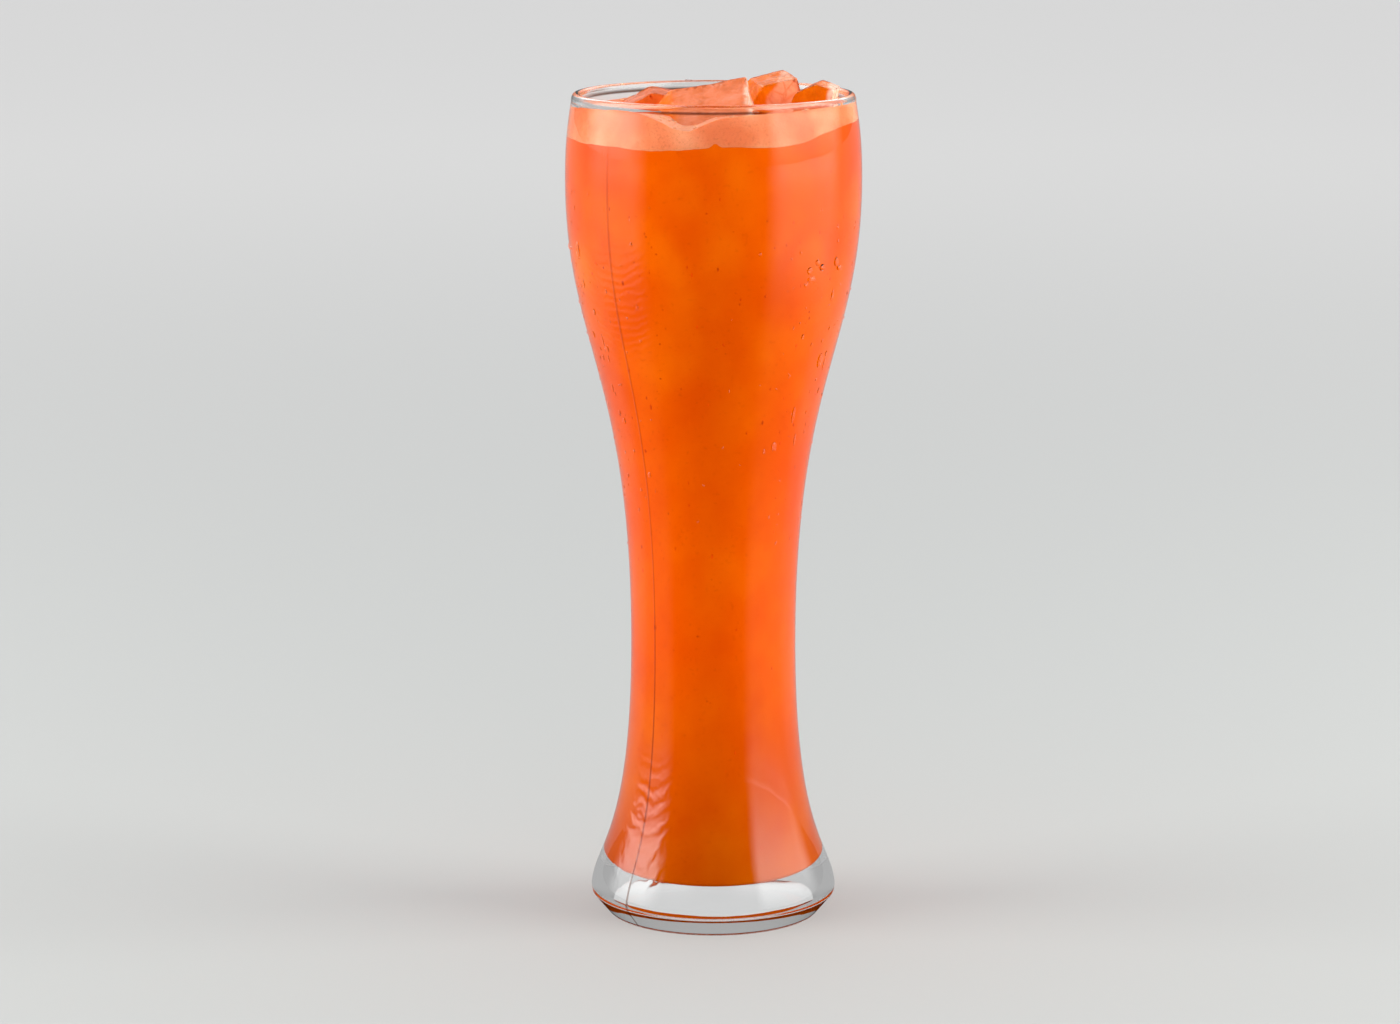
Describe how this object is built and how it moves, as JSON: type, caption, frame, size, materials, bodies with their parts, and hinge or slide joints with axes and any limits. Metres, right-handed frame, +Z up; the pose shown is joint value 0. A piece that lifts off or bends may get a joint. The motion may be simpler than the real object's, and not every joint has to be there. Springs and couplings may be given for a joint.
{
  "type": "glass of carrot juice",
  "caption": "Tall waisted glass on a thick clear foot, filled with carrot juice under a layer of froth, with lumps of ice standing above the rim.",
  "frame": {"origin": "middle of the ring that the glass stands on", "axes": "+Z up along the glass's axis, -Y towards the side shown, +X to that side's right"},
  "size_m": [0.082, 0.082, 0.2375],
  "materials": {
    "glass": "clear smooth soda-lime glass",
    "juice": "opaque cloudy juice behind glass",
    "foam": "fine pale froth",
    "ice": "wet ice coated with juice"
  },
  "bodies": {
    "root": {"glass": "glass", "juice": "juice", "foam": "foam", "ice_1": "ice", "ice_2": "ice", "ice_3": "ice", "ice_4": "ice"}
  },
  "joints": []
}
